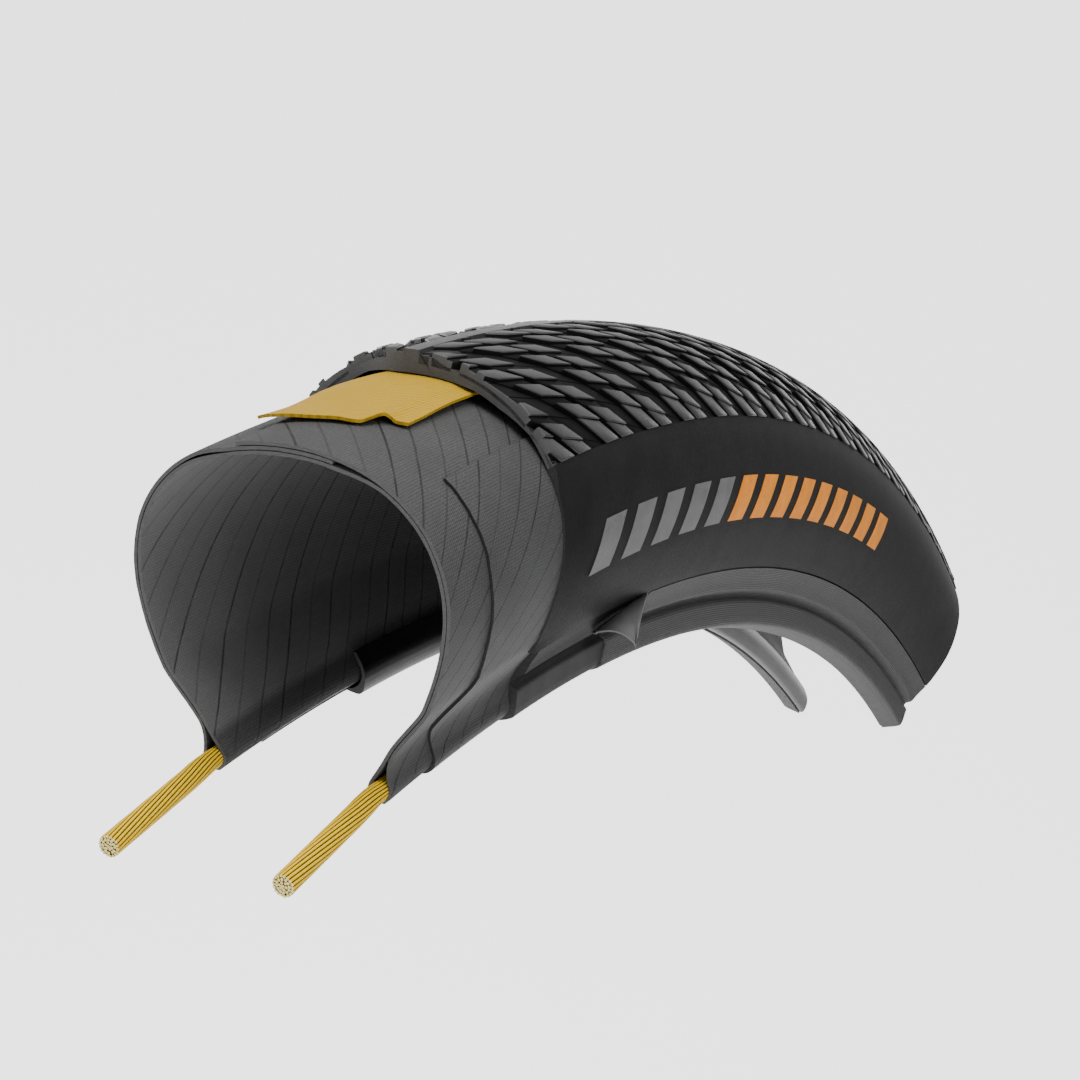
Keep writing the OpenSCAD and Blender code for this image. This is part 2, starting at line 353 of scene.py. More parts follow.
# ---------------------------------------------------------------- materials
class Look:
    """A node material, built from a few numbers in millimetres."""

    def __init__(self, name, roughness, specular=0.5):
        self.mat = bpy.data.materials.new(name)
        self.mat.use_nodes = True
        self.nodes, self.links = self.mat.node_tree.nodes, self.mat.node_tree.links
        self.shader = self.nodes["Principled BSDF"]
        self.shader.inputs["Roughness"].default_value = roughness
        self.shader.inputs["Specular IOR Level"].default_value = specular

    def node(self, kind, values=(), **props):
        made_node = self.nodes.new("ShaderNode" + kind)
        for key, value in props.items():
            setattr(made_node, key, value)
        for key, value in dict(values).items():
            self.put(made_node.inputs[key], value)
        return made_node

    def put(self, socket, value):
        if isinstance(value, bpy.types.NodeSocket):
            self.links.new(value, socket)
        else:
            socket.default_value = value

    def math(self, kind, a, b=0.0, c=0.0):
        return self.node("Math", {0: a, 1: b, 2: c}, operation=kind).outputs[0]

    def lay(self):
        split = self.node("SeparateXYZ", {0: self.node("Attribute", attribute_name="lay")
                                          .outputs["Vector"]})
        return split.outputs

    def vector(self, x, y, z=0.0):
        return self.node("CombineXYZ", {0: x, 1: y, 2: z}).outputs[0]

    def noise(self, vector, scale, detail=3.0, rough=0.6):
        return self.node("TexNoise", {"Vector": vector, "Scale": scale, "Detail": detail,
                                      "Roughness": rough}).outputs["Fac"]

    def place(self):
        """The object's own coordinates in millimetres."""
        return self.node("VectorMath", {0: self.node("TexCoord").outputs["Object"], 3: 1000.0},
                         operation="SCALE").outputs[0]

    def split(self, vector):
        return self.node("SeparateXYZ", {0: vector}).outputs[:]

    def ramp(self, fac, *stops):
        made_node = self.node("ValToRGB", {0: fac})
        e = made_node.color_ramp.elements
        while len(e) < len(stops):
            e.new(0.5)
        for slot, (at, colour) in zip(e, stops):
            slot.position = at
            slot.color = (*colour, 1) if hasattr(colour, "__len__") else (colour,) * 3 + (1,)
        return made_node.outputs[0]

    def span(self, value, a, b, low=0.0, high=1.0):
        return self.node("MapRange", {0: value, 1: a, 2: b, 3: low, 4: high}).outputs[0]

    def mix(self, fac, a, b, kind="MIX"):
        made_node = self.node("Mix", data_type="RGBA", blend_type=kind)
        self.put(made_node.inputs[0], fac)
        for key, value in ((6, a), (7, b)):
            if isinstance(value, tuple) and len(value) == 3:
                value = (*value, 1)
            self.put(made_node.inputs[key], value)
        return made_node.outputs[2]

    def colour(self, value):
        if isinstance(value, tuple) and len(value) == 3:
            value = (*value, 1)
        self.put(self.shader.inputs["Base Color"], value)

    def rough(self, value):
        self.put(self.shader.inputs["Roughness"], value)

    def bump(self, height, distance, strength=1.0):
        """height is 0 to 1, and distance the height of 1 in millimetres."""
        last = self.shader.inputs["Normal"].links
        made_node = self.node("Bump", {"Height": height, "Strength": strength,
                                       "Distance": distance / 1000})
        if last:
            self.links.new(last[0].from_socket, made_node.inputs["Normal"])
        self.links.new(made_node.outputs[0], self.shader.inputs["Normal"])


def grey(v):
    return (v, v, v)


CAVITY_PAINTED_LIGHT = 0.05      # painted light: the cavity's face of the cloth is made this much paler


def cord_cloth(name, tone, line_gap, line_tone, cavity=None, angle=39.0, ply=0.42):
    """Rubberised cord cloth: fine parallel cords with a darker line every few millimetres."""
    look = Look(name, 0.62, 0.12)
    x, l, _ = look.lay()[:]
    sa, ca = math.sin(math.radians(angle)), math.cos(math.radians(angle))
    cross = look.math("SUBTRACT", look.math("MULTIPLY", x, sa), look.math("MULTIPLY", l, ca))
    down = look.math("ADD", look.math("MULTIPLY", x, ca), look.math("MULTIPLY", l, sa))
    wander = look.noise(look.vector(look.math("MULTIPLY", down, 0.05),
                                    look.math("MULTIPLY", cross, 0.2)), 1.0)
    cross_w = look.math("ADD", cross, look.math("MULTIPLY", wander, 0.5))
    # the wide lines
    at = look.math("DIVIDE", cross_w, line_gap)
    cell = look.math("FRACT", at)
    off = look.math("ABSOLUTE", look.math("SUBTRACT", cell, 0.5))
    line = look.span(off, 0.055, 0.02)
    each = look.node("TexWhiteNoise", {"W": look.math("FLOOR", at)},
                     noise_dimensions="1D").outputs["Value"]
    streak = look.noise(look.vector(look.math("MULTIPLY", down, 0.4), cross), 1.2, 4)
    strength = look.math("MULTIPLY", look.span(each, 0.0, 1.0, 0.3, 0.85),
                         look.span(streak, 0.3, 0.6, 0.55, 1.0))
    line = look.math("MULTIPLY", line, strength)
    # the fine cords
    fine = look.math("SINE", look.math("MULTIPLY", cross_w, 2 * math.pi / ply))
    speck = look.noise(look.vector(look.math("MULTIPLY", down, 2.2),
                                   look.math("MULTIPLY", cross, 3.4)), 1.0, 5, 0.75)
    blotch = look.noise(look.place(), 0.12, 4)
    base = look.ramp(speck, (0.25, grey(tone * 0.55)), (0.5, grey(tone)),
                     (0.75, grey(tone * 1.6)))
    across = look.math("SINE", look.math("MULTIPLY", down, 2 * math.pi / (ply * 1.15)))
    dots = look.math("MULTIPLY", fine, across)
    base = look.mix(look.span(dots, 0.0, 0.9, 0.0, 0.55), base, grey(tone * 2.0))
    base = look.mix(look.span(blotch, 0.35, 0.65, 0.0, 0.35), base, grey(tone * 0.7))
    # Painted light: the span of the ply round the cavity is made paler.
    if cavity:
        inside = look.math("MINIMUM", look.span(l, cavity[0], cavity[0] + 1),
                           look.span(l, cavity[1] + 1, cavity[1]))
        base = look.mix(inside, base, grey(CAVITY_PAINTED_LIGHT), "ADD")
    look.colour(look.mix(line, base, grey(line_tone)))
    look.rough(look.span(speck, 0.3, 0.7, 0.5, 0.75))
    look.bump(look.math("ADD", look.math("MULTIPLY", dots, 0.5), 0.5), 0.035, 0.8)
    look.bump(look.math("SUBTRACT", 1.0, line), 0.1, 0.8)
    look.bump(speck, 0.06, 0.6)
    return look.mat


def rubber(name, tone, roughness, grain=0.05, scale=1.6, fine=7.0, specular=0.5, painted_light_fade=None):
    """Moulded rubber. fade gives two heights above the bead seat and the tone of the upper; this
    run is painted reflection and painted shade.
    """
    look = Look(name, roughness, specular)
    p = look.place()
    big, small = look.noise(p, scale * 0.1, 4), look.noise(p, fine, 3)
    base = look.ramp(big, (0.3, grey(tone * 0.85)), (0.7, grey(tone * 1.15)))
    dust = look.span(look.noise(p, scale, 6, 0.75), 0.55, 0.8, 0.0, 0.35)
    tint = look.mix(dust, base, grey(min(1.0, tone * 1.9)))
    # Painted reflection and shade: the tone runs from the rubber's own low down to a darker one
    # higher above the bead seat.
    if painted_light_fade:
        x, _, z = look.split(p)
        rise = look.math("SUBTRACT", look.math("SQRT", look.math(
            "ADD", look.math("MULTIPLY", x, x),
            look.math("POWER", look.math("ADD", z, SEAT_R), 2.0))), SEAT_R)
        tint = look.mix(look.span(rise, painted_light_fade[0], painted_light_fade[1]), tint, grey(painted_light_fade[2]))
    look.colour(tint)
    look.rough(look.span(small, 0.3, 0.7, roughness - 0.08, roughness + 0.1))
    look.bump(small, grain, 0.5)
    look.bump(look.noise(p, scale, 5), grain * 2.5, 0.4)
    return look.mat


def cut_face(name, tone, spread=0.4):
    """Rubber or cloth where it was sawn through: paler, matt and dragged."""
    look = Look(name, 0.75, 0.3)
    p = look.place()
    drag = look.noise(look.node("VectorMath", {0: p, 1: (0.4, 1.0, 6.0)},
                                operation="MULTIPLY").outputs[0], 1.2, 5, 0.7)
    look.colour(look.ramp(drag, (0.25, grey(tone * (1 - spread))), (0.5, grey(tone)),
                          (0.8, grey(tone * (1 + spread)))))
    look.bump(drag, 0.2 * spread, 0.8)
    return look.mat


def weave(name, tone, gap, depth):
    """Square woven cloth with yarns every gap millimetres, that stand depth millimetres up."""
    look = Look(name, 0.7, 0.1)
    x, l, _ = look.lay()[:]
    wa = look.math("SINE", look.math("MULTIPLY", x, math.pi / gap))
    wb = look.math("SINE", look.math("MULTIPLY", l, math.pi / gap))
    over = look.math("MULTIPLY", wa, wb)
    ridge = look.math("MAXIMUM",
                      look.math("MULTIPLY", look.math("ABSOLUTE", wa), look.span(over, -0.4, 0.4)),
                      look.math("MULTIPLY", look.math("ABSOLUTE", wb), look.span(over, 0.4, -0.4)))
    speck = look.noise(look.place(), 1.8, 5, 0.7)
    base = look.ramp(ridge, (0.15, grey(tone * 0.3)), (0.6, grey(tone)), (1.0, grey(tone * 1.5)))
    look.colour(look.mix(look.span(speck, 0.35, 0.7, 0.0, 0.5), base, grey(tone * 0.6)))
    look.bump(ridge, depth, 1.0)
    look.bump(speck, 0.05, 0.5)
    return look.mat


def twill(name, light, dark, gap, slope):
    """Yellow cloth whose yarns run in fine slanted ribs."""
    look = Look(name, 0.6, 0.15)
    x, l, _ = look.lay()[:]
    c, s = math.cos(math.radians(slope)), math.sin(math.radians(slope))
    a = look.math("ADD", look.math("MULTIPLY", x, c), look.math("MULTIPLY", l, s))
    b = look.math("SUBTRACT", look.math("MULTIPLY", l, c), look.math("MULTIPLY", x, s))
    wander = look.noise(look.vector(look.math("MULTIPLY", a, 0.3), b), 0.6, 3)
    rib = look.math("SINE", look.math("MULTIPLY", look.math("ADD", b,
                    look.math("MULTIPLY", wander, 0.5)), 2 * math.pi / gap))
    beads = look.math("SINE", look.math("MULTIPLY", look.math("ADD", a, b), 2 * math.pi / 0.5))
    h = look.math("ADD", look.math("MULTIPLY", rib, 0.35),
                  look.math("ADD", look.math("MULTIPLY", beads, 0.15), 0.5))
    fibre = look.noise(look.vector(a, look.math("MULTIPLY", b, 6.0)), 1.0, 4)
    base = look.ramp(h, (0.1, dark), (0.55, light), (1.0, tuple(min(1, v * 1.15) for v in light)))
    look.colour(look.mix(look.span(fibre, 0.3, 0.7, 0.0, 0.4), base, dark))
    look.bump(h, 0.04, 0.8)
    look.bump(fibre, 0.03, 0.6)
    return look.mat


def yarn(name, light, dark, end):
    """Twisted aramid: fine fibres that wind round the strand, with painted shade on the sides
    turned into the bundle.
    """
    look = Look(name, 0.5, 0.12)
    x, round_, out = look.lay()[:]
    wind = look.math("SINE", look.math("ADD", look.math("MULTIPLY", x, 5.0),
                                       look.math("MULTIPLY", round_, 2 * math.pi)))
    speck = look.noise(look.place(), 2.5, 4)
    tint = look.mix(look.span(speck, 0.45, 0.75, 0.0, 0.4), light, dark)
    # Painted shade: sides that don't face out from the core's middle line go near black, for the
    # gaps between strands.
    look.colour(look.mix(look.span(out, 0.25, 0.85), tuple(v * 0.12 for v in dark), tint))
    look.bump(look.math("ADD", look.math("MULTIPLY", wind, 0.5), 0.5), 0.03, 0.6)
    tip = Look(name + "_end", 0.8, 0.2)
    spot = tip.noise(tip.place(), 9.0, 3)
    tip.colour(tip.ramp(spot, (0.3, tuple(v * 0.7 for v in end)), (0.6, end)))
    tip.bump(spot, 0.05, 0.7)
    return look.mat, tip.mat


def film(name, colour, under):
    """Printed film that has worn thin in places."""
    look = Look(name, 0.5, 0.08)
    p = look.place()
    worn = look.math("MULTIPLY", look.span(look.noise(p, 1.3, 6, 0.8), 0.58, 0.7),
                     look.span(look.noise(p, 0.2, 3), 0.4, 0.6, 0.2, 0.9))
    tint = look.noise(p, 0.4, 3)
    base = look.mix(look.span(tint, 0.3, 0.7), tuple(v * 0.85 for v in colour),
                    tuple(min(1, v * 1.1) for v in colour))
    look.colour(look.mix(worn, base, grey(under)))
    look.bump(look.noise(p, 5.0, 3), 0.04, 0.5)
    return look.mat


CASING = cord_cloth("casing_cloth", 0.048, 2.9, 0.008, cavity=(58, 146))
SIDE_CLOTH = cord_cloth("side_ply_cloth", 0.048, 2.9, 0.008)
CLOTH_CUT = cut_face("cloth_cut", 0.05)
# Painted shade: the side plies' cut edges are made near black, unlike the pale cut cloth.
CLOTH_EDGE_PAINTED_SHADE = cut_face("cloth_edge_painted_shade", 0.012)
# The rim strips' run from a lighter bead face to a near black lip is painted reflection and painted
# shade, not the rubber's colour.
RIM_LEFT = rubber("rim_strip_left", 0.045, 0.35, 0.02, specular=0.15,
                  painted_light_fade=(0.4, 1.7, 0.003))
RIM_RIGHT = rubber("rim_strip_right", 0.045, 0.5, 0.02, specular=0.02,
                   painted_light_fade=(2.8, 4.6, 0.005))
CHAFER = weave("chafer_weave", 0.062, 0.3, depth=0.04)
CHAFER_BACK = rubber("chafer_back", 0.11, 0.5, 0.03, specular=0.2)
SIDEWALL = rubber("sidewall_skin", 0.014, 0.5, 0.03, specular=0.015)
TREAD = rubber("tread_top", 0.032, 0.34, 0.03, specular=0.5)
# Painted shade: the tread's recesses get this near black, less glossy copy of the tread rubber.
GROOVE_PAINTED_SHADE = rubber("tread_groove_painted_shade", 0.003, 0.6, 0.03, specular=0.1)
TREAD_CUT = cut_face("tread_cut", 0.06, 0.15)
RUBBER_CUT = cut_face("rubber_cut", 0.02)
BREAKER = twill("breaker_twill", (0.42, 0.26, 0.012), (0.3, 0.17, 0.008), 0.45, 50)
GOLD, GOLD_END = yarn("aramid", (0.75, 0.48, 0.018), (0.45, 0.26, 0.008), (0.75, 0.62, 0.24))
GREY_FILM = film("grey_film", grey(0.12), 0.007)
ORANGE_FILM = film("orange_film", (0.75, 0.24, 0.008), 0.007)


def finish_piece(obj, slot, nodes, *materials):
    for m in materials:
        obj.data.materials.append(m)
    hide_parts(*nodes)
    return obj


# ---------------------------------------------------------------- bead cores
DIP = 1.32          # how far the straight bare ends have dipped at their tips
SPREAD = 0.15       # share that the bare ends spread once they leave the wrap
EASE = 5.0          # length over which the dip sets in
TURN_EACH = 70.0    # length along the bead for one turn of the strands
RING_TURN = 0.04    # share of a turn from one ring of strands to the next


def bead_core(side, word):
    """The twisted strands of one folding bead, ring by ring."""
    names = ("centre_strand", "inner_strands", "middle_strands", "outer_strands")
    for ring, (count, tail) in enumerate(zip(RINGS, names)):
        away = ring * STRAND_D * STRAND_PITCH
        parts = []
        for k in range(count):
            t0 = -STUB + rng.uniform(0.0, 0.02)
            points, widths, core = [], [], []
            for t in np.arange(t0, FAR_CUT + 0.001, 0.3):
                bare = smooth(-t / 0.5)
                out = away * (1 + SPREAD * bare)
                w = 2 * math.pi * (k / count + RING_TURN * ring) \
                    + side * 2 * math.pi * math.radians(t) * CORE_R / TURN_EACH
                r, n = CORE_R + out * math.cos(w), side * CORE_SIDE + out * math.sin(w)
                if t >= 0:
                    points.append(place(r, n, t))
                    core.append(place(CORE_R, side * CORE_SIDE, t))
                else:
                    run = math.radians(-t) * CORE_R
                    fall = DIP * run / STUB_LENGTH * smooth(run / EASE)
                    points.append((-run / 1000, -n / 1000, (r - fall - SEAT_R) / 1000))
                    core.append((-run / 1000, -side * CORE_SIDE / 1000,
                                 (CORE_R - fall - SEAT_R) / 1000))
                widths.append(STRAND_D / 2000 * (1 + SPREAD * bare))
            parts.append(tube(points, widths, core))
        obj = made(f"bead_{word}_{tail}_twisted", joined(*parts), smooth_angle=50)
        finish_piece(obj, "aramid_cord", [f"bead_{word}_{tail}"], GOLD, GOLD_END)


bead_core(1, "right")
bead_core(-1, "left")


# ---------------------------------------------------------------- cloth layers
def ragged(start_of, size=0.05):
    """A front edge that wanders a little, by about size degrees, as a saw leaves it."""
    k = rng.uniform(0, 6.28, 4)
    return lambda l: start_of(l) + size * (math.sin(l * 0.9 + k[0]) * 0.5
                                           + math.sin(l * 2.7 + k[1]) * 0.3
                                           + math.sin(l * 6.1 + k[2]) * 0.2)


PLY_START = 0.02        # keeps the ragged front edge behind the cut across the casing
ply_path = even(ply_line(), 0.8, 2)
carcass = made("carcass_ply_cloth", sheet_of(ply_path, PLY_T, ragged(lambda l: PLY_START, 0.008)))
finish_piece(carcass, "carcass_cloth", ["carcass_ply"], CASING, CLOTH_CUT)


# The side ply's front edge: share of its length from the top, and wheel angle
SIDE_EDGE = ((0, 1.35), (0.3, 1.45), (0.5, 1.66), (0.62, 1.78), (0.69, 1.6), (0.75, 1.3),
             (0.8, 1.25), (0.85, 1.45), (0.9, 1.6), (1, 1.6))
side_path = even(offset(skin_line(SIDE_TOP, SIDE_WRAP), LAY_GAP + SIDE_T / 2), 0.5, 2)
side_len = lengths(side_path)[-1]
SIDE_ORIGIN = 70.0      # shifts the cord lines along the section
for side, word in ((1, "right"), (-1, "left")):
    edge = ragged(lambda l: float(np.interp(l / side_len, *zip(*SIDE_EDGE))), 0.02)
    obj = made(f"side_ply_{word}_cloth",
               sheet_of(side_path, SIDE_T, edge, side=side, origin=SIDE_ORIGIN, grain=-side))
    finish_piece(obj, "side_cloth", [f"side_ply_{word}"], SIDE_CLOTH, CLOTH_EDGE_PAINTED_SHADE)

# ---------------------------------------------------------------- rim strips
RIM_FACE = [(SEAT_R + FOOT - 0.1, BEAD_FACE + 3.2), (SEAT_R + 6.2, BEAD_FACE + 1.95),
            (SEAT_R + 5.1, BEAD_FACE + 1.4), (SEAT_R + 4.75, BEAD_FACE + 1.2),
            (SEAT_R + 4.4, BEAD_FACE + 0.35), (SEAT_R + 4.1, BEAD_FACE + 0.05),
            (SEAT_R + 3.5, BEAD_FACE - 0.2), (SEAT_R + 3.15, BEAD_FACE - 0.15),
            (SEAT_R + 2.95, BEAD_FACE + 0.4), (SEAT_R + 2.75, BEAD_FACE + 0.5),
            (SEAT_R + 2.3, BEAD_FACE + 0.45), (SEAT_R + 0.1, BEAD_FACE + 0.25),
            (SEAT_R - 0.5, BEAD_FACE - 0.1), (SEAT_R - 1.3, CORE_SIDE - 1.1)]
RIM_FLAP = [(SEAT_R - 1.15, CORE_SIDE - 1.8), (SEAT_R - 0.3, CORE_SIDE - 2.1),
            (SEAT_R + 1.0, CORE_SIDE - 2.2), (SEAT_R + 2.2, CORE_SIDE - 1.85),
            (SEAT_R + 3.6, CORE_SIDE - 1.0)]
RIM_BACK = [(SEAT_R + FOOT - 0.1, BEAD_FACE + 2.6)] + [
    tuple(p) for p in offset(skin_line(FLANK_END), SIDE_OUT + LAY_GAP)
    if p[0] < SEAT_R + FOOT - 0.3] + [(SEAT_R + 3.6, CORE_SIDE - 0.55)]
rim_outer = even(RIM_FACE + RIM_FLAP, 0.16, 1)
rim_inner = even(RIM_BACK, 0.3, 1)
for side, word in ((1, "right"), (-1, "left")):
    obj = made(f"rim_strip_{word}_rubber",
               solid_of(lambda t: rim_outer, lambda t: rim_inner, RIM_START[word], side=side),
               smooth_angle=30)
    finish_piece(obj, "rim_rubber", [f"rim_strip_{word}"], RIM_RIGHT if side > 0 else RIM_LEFT,
                 RUBBER_CUT)


# ---------------------------------------------------------------- chafers
CHAFER_FACE, CHAFER_RIDGE = 9.2, 8.2      # front edge on the bead's face, and on the ridge
RIDGE_R, PEEL_R = 5.0, 7.6                # the peel widens between these heights above the seat
chafer_path = offset(even(RIM_FACE, 0.16, 1), LAY_GAP + CHAFER_T / 2)


def chafer_start(side):
    def start_of(l):
        r = float(np.interp(l, lengths(chafer_path), chafer_path[:, 0])) - SEAT_R
        if r > RIDGE_R:
            peeled = ramp(r, RIDGE_R, PEEL_R) * (side > 0)
            return CHAFER_RIDGE + (PEEL_END - CHAFER_RIDGE) * peeled
        return CHAFER_RIDGE + (CHAFER_FACE - CHAFER_RIDGE) * smooth((RIDGE_R - r) / 1.2)
    return start_of


def peeled_leaf():
    """The chafer's upper front corner on the right, which hangs out from the bead in a curl."""
    top, low = (SEAT_R + 8.2, 14.55, 10.5), (SEAT_R + 5.1, 13.25, 8.15)
    tip = (SEAT_R + 4.95, 18.18, 8.2)
    cols, rows = 16, 22
    points = [place(*p) for p in (top, low, tip)]
    a, b, c = (Vector(p) for p in points)
    across = (b - a).cross(c - a).normalized()
    verts, lay, faces = [], [], []
    for face in (1, -1):
        for i in range(rows + 1):
            v = i / rows
            for j in range(cols + 1):
                u = j / cols
                root = a.lerp(b, u)
                q = root.lerp(c, min(v, 0.985))
                curl = 0.0006 * math.sin(math.pi * v * 0.9) - 0.0011 * v ** 3
                edge = 0.00025 * math.sin(2 * math.pi * u + 1.2) * v
                q = q + across * (curl + edge + face * CHAFER_T / 2000)
                verts.append(tuple(q))
                lay.append(((u - 0.5) * 4.6 * (1 - v) + 3, v * 5.2, face))
    m = cols + 1
    base = m * (rows + 1)
    for i in range(rows):
        for j in range(cols):
            p, q = i * m + j, (i + 1) * m + j
            faces.append((p, p + 1, q + 1, q))
            faces.append((base + p, base + q, base + q + 1, base + p + 1))
        for j in (0, cols):
            p, q = i * m + j, (i + 1) * m + j
            faces.append((p, q, base + q, base + p))
    for i in (0, rows):
        for j in range(cols):
            p = i * m + j
            faces.append((p, base + p, base + p + 1, p + 1))
    return verts, faces, lay, [2] * len(faces)


for side, word in ((1, "right"), (-1, "left")):
    strip = sheet_of(chafer_path, CHAFER_T, ragged(chafer_start(side), 0.05), side=side)
    obj = made(f"chafer_{word}_weave", joined(strip, peeled_leaf()) if side > 0 else strip)
    finish_piece(obj, "chafer_cloth", [f"chafer_{word}"], CHAFER, CLOTH_CUT, CHAFER_BACK)


# ---------------------------------------------------------------- sidewalls and tread
def tread_h(a):
    return SIDE_OUT + LAY_GAP + SHOULDER_T + (CROWN_T - SHOULDER_T) \
        * max(0.0, math.cos(math.radians(min(90, abs(a) * 90 / SHOULDER)))) ** 1.2


def sidewall_h(a):
    return SIDE_OUT + LAY_GAP + SIDEWALL_T * (1 + 0.55 * ramp(a, SHOULDER + 26, SHOULDER)
                                              - 0.25 * ramp(a, FLANK_END - 18, FLANK_END))


CUT_BACK = 0.8      # how far back the covers' front cut lies on the left
FOOT_OUT = 3.55     # how far the sidewall's foot stands out from the bead's face


def sidewall_inner(t):
    return [flank(a, SIDE_OUT + LAY_GAP) for a in SKIN_ANGLES] + [
        (SEAT_R + FOOT, BEAD_FACE + FOOT_OUT - SIDEWALL_T - 0.2)]


def sidewall_outer(t):
    """The skin is feathered to a thin edge at its front, except where it meets the tread."""
    out = []
    for a in SKIN_ANGLES:
        thin = 0.3 + 0.7 * max(ramp(t, COVER_START, COVER_START + 1.4),
                               ramp(a, SHOULDER + 9, SHOULDER + 1))
        out.append(flank(a, SIDE_OUT + LAY_GAP + (sidewall_h(a) - SIDE_OUT - LAY_GAP) * thin))
    return out + [(SEAT_R + FOOT, BEAD_FACE + FOOT_OUT)]


SKIN_ANGLES = np.arange(SHOULDER, FLANK_END + 0.1, 2)
for side, word in ((1, "right"), (-1, "left")):
    obj = made(f"sidewall_{word}_skin",
               solid_of(sidewall_outer, sidewall_inner, COVER_START, side=side,
                        shear=lambda n: CUT_BACK * (n < 0)))
    finish_piece(obj, "sidewall_rubber", [f"sidewall_{word}"], SIDEWALL, RUBBER_CUT)

_face = np.array([flank(a, tread_h(a)) for a in np.linspace(-60, 60, 1201)])
_round = np.concatenate([[0], np.cumsum(np.hypot(*np.diff(_face, axis=0).T))])
_round -= _round[600]
SHOULDER_S = float(np.interp(SHOULDER, np.linspace(-60, 60, 1201), _round))
# Underside of the tread's free lip: length from the crown, and height above the plies
LIP = ((0, 1.6), (7, 1.46), (10, 1.05), (14, 1.05), (16.4, 1.25), (22, 1.3))
PATTERN_FROM = 0.9          # half width of the plain rib on the crown
BASE_DROP = 1.1             # depth of the slots, which are shallower beside the crown
CROWN_DROP = 0.5            # the depth there
SLOT = 1.364                # lattice: rib A is 0 to 1, the slot to here, rib B to the next
RIB_B = 2.33
NEXT = 3.70                 # and the wide groove to where the next pitch starts
LAND_DROP = 0.24            # the shoulder land lies this far below the blocks' tops
BLOCK = 0.64                # share of a rib that each block's top takes
ORIGIN = (8.04, 17.3)       # a shoulder end of rib A: wheel angle and length from the crown
ALONG_RIB = (0.71, 3.68)    # from one block of a rib to the next, as angle and length
ALONG_SIPE = (0.74, 0.95)   # and across a rib, along a sipe
FAR_HALF_TURN = 0.45        # the left half's pattern runs this far behind the right's


def tread_angle(s):
    return float(np.interp(s, _round, np.linspace(-60, 60, 1201)))


def cut_shear(n):
    """The covers' front cut runs further back across the left half."""
    return CUT_BACK * smooth(-n / 10)


def tread_point(t, s, drop, side):
    a = tread_angle(s)
    r, n = flank(a, tread_h(a) - drop)
    return place(r, side * n, t)


def under_tread(t):
    """The tread's underside, which arches clear of the breaker at the cut end."""
    out = []
    near = 1 - smooth((t - COVER_START) / 2.5)
    for a in np.arange(-SHOULDER, SHOULDER + 0.1, 2):
        s = abs(float(np.interp(a, ANGLES, ROUND)))
        seated = LAY_GAP + (BREAKER_T + LAY_GAP if s < BREAKER_HALF + 0.4 else SIDE_OUT)
        lip = float(np.interp(s, *zip(*LIP)))
        out.append(flank(a, seated + (lip - seated) * near))
    return out


def clip(poly, axis, limit, keep_below):
    """A convex polygon cut at a limit on one axis."""
    out = []
    for i, p in enumerate(poly):
        q = poly[(i + 1) % len(poly)]
        inside, next_in = ((p[axis] <= limit) == keep_below, (q[axis] <= limit) == keep_below)
        if inside:
            out.append(p)
        if inside != next_in:
            f = (limit - p[axis]) / (q[axis] - p[axis])
            out.append(tuple(p[k] + (q[k] - p[k]) * f for k in range(3)))
    return out


def tile(poly, side, turn, bevel=0.16):
    """One moulded block: a prism on a polygon of (wheel angle, length, depth below the top)."""
    def shear(s):
        a = tread_angle(s)
        return cut_shear(side * flank(a, tread_h(a))[1])

    poly = [(t + turn - shear(s), s, d) for t, s, d in poly]
    for axis, limit, below in ((0, COVER_START, False), (0, FAR_CUT, True),
                               (1, PATTERN_FROM, False), (1, SHOULDER_S, True)):
        poly = clip(poly, axis, limit, below)
        if len(poly) < 3:
            return None
    at_cut = [p[0] - COVER_START < 1e-6 for p in poly]
    poly = [(t + shear(s), s, d) for t, s, d in poly]
    mm = math.radians(1) * (CENTRE_R + 20)
    area = 0.5 * abs(sum(p[0] * q[1] - q[0] * p[1] for p, q in zip(poly, poly[1:] + poly[:1])))
    if area * mm < 0.12:
        return None
    centre = [sum(p[k] for p in poly) / len(poly) for k in range(3)]
    verts, faces, slots = [], [], []
    n = len(poly)
    low = max(p[2] for p in poly) > LAND_DROP + 0.01

    def shrunk(p, by):
        dt, ds = (centre[0] - p[0]) * mm, centre[1] - p[1]
        far = math.hypot(dt, ds)
        f = min(0.45, by / max(far, 1e-6))
        return (p[0] + (centre[0] - p[0]) * f, p[1] + (centre[1] - p[1]) * f)

    for inset, drop in ((0.0, BASE_DROP + 0.35), (0.0, bevel), (bevel * 0.45, bevel * 0.3),
                        (bevel * 1.3, 0.0)):
        for p in poly:
            t, s = shrunk(p, inset)
            verts.append(tread_point(t, s, drop + (p[2] if drop < BASE_DROP else 0.0), side))
    verts.append(tread_point(centre[0], centre[1], centre[2], side))
    for row in range(3):
        for i in range(n):
            k = (i + 1) % n
            faces.append((row * n + i, row * n + k, (row + 1) * n + k, (row + 1) * n + i))
            cut = at_cut[i] and at_cut[k]
            # Sunken tiles and each wall below its bevel take slot 2, the groove rubber: painted
            # shade in the recesses.
            slots.append(1 if cut and row < 2 else (2 if low or row == 0 else 0))
    for i in range(n):
        faces.append((3 * n + i, 3 * n + (i + 1) % n, 4 * n))
        slots.append(2 if low else 0)
    return verts, faces, [(0, 0, 0)] * len(verts), slots


def lattice(q, p):
    return (ORIGIN[0] + p * ALONG_RIB[0] + q * ALONG_SIPE[0],
            ORIGIN[1] + p * ALONG_RIB[1] + q * ALONG_SIPE[1])


def quad(q0, q1, p0, p1, depths, shift=0.0):
    corners = ((q0, p0), (q1, p0), (q1, p1), (q0, p1))
    return [(*lattice(q, p + shift), d) for (q, p), d in zip(corners, depths)]


